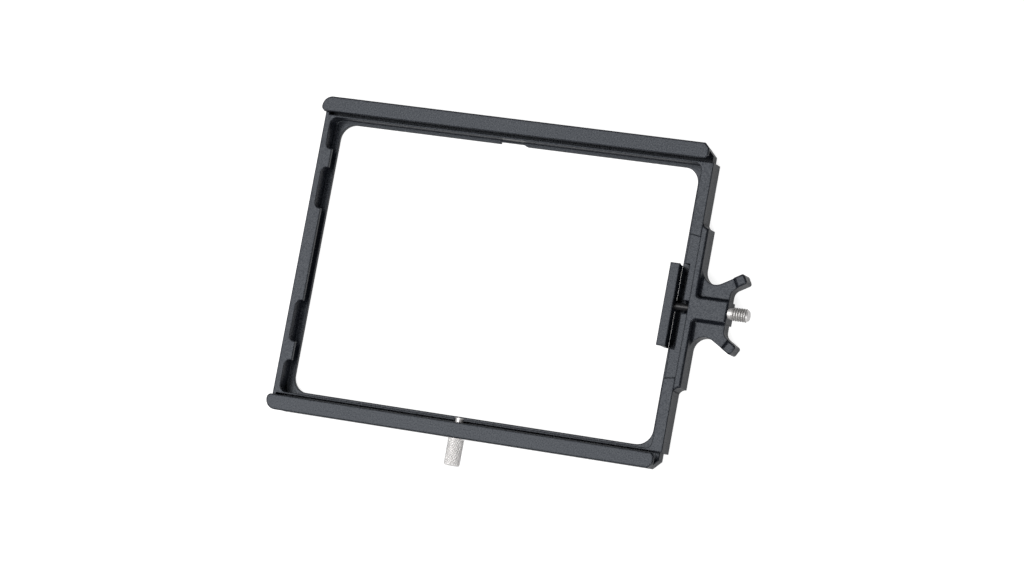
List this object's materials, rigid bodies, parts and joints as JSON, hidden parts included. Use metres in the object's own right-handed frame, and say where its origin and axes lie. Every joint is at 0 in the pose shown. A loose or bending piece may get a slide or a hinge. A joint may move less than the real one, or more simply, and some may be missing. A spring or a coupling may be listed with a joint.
{
  "type": "filter tray",
  "caption": "Flat rectangular tray for a camera filter, with guide rails, a sprung pusher bar with a pull stud and finger ears, and a knurled clamping screw.",
  "frame": {"origin": "centre of the filter space, on the back plane that the tray lies on", "axes": "+X along the tray towards the handle, +Y across it away from the knurled screw, +Z out of the front"},
  "size_m": [0.1739, 0.1264, 0.01],
  "materials": {
    "anodised": "fine bead-blasted black anodise",
    "steel": "turned bright steel",
    "spring": "drawn spring wire",
    "dark_steel": "black oxide"
  },
  "bodies": {
    "tray": {"tray_frame": "anodised", "handle_block": "anodised", "handle_screw_upper": "dark_steel", "handle_screw_lower": "dark_steel", "thread_insert": "steel"},
    "pusher": {"pusher_bar": "anodised", "pusher_rod": "steel", "rod_collar": "steel", "pull_stud": "steel", "return_spring": "spring"},
    "screw_tip": {"thumbscrew_tip": "steel"},
    "screw": {"thumbscrew": "steel", "screw_retainer": "steel"}
  },
  "joints": [
    {"name": "pusher_slide", "type": "slide", "parent": "tray", "child": "pusher", "axis": [1, 0, 0], "range_m": [0, 0.004], "stiffness_N_per_m": 330, "springref_m": -0.002, "deforming": ["return_spring"]},
    {"name": "screw_advance", "type": "slide", "parent": "tray", "child": "screw_tip", "axis": [0, -1, 0], "range_m": [0, 0.0018]},
    {"name": "screw_turn", "type": "hinge", "parent": "screw_tip", "child": "screw", "pos_m": [-0.0008, -0.0505, 0.0065], "axis": [0, -1, 0], "range_deg": [0, 1440]}
  ],
  "couplings": [
    {"joint": "screw_turn", "follows": "screw_advance", "rad_per_m": 13963}
  ]
}
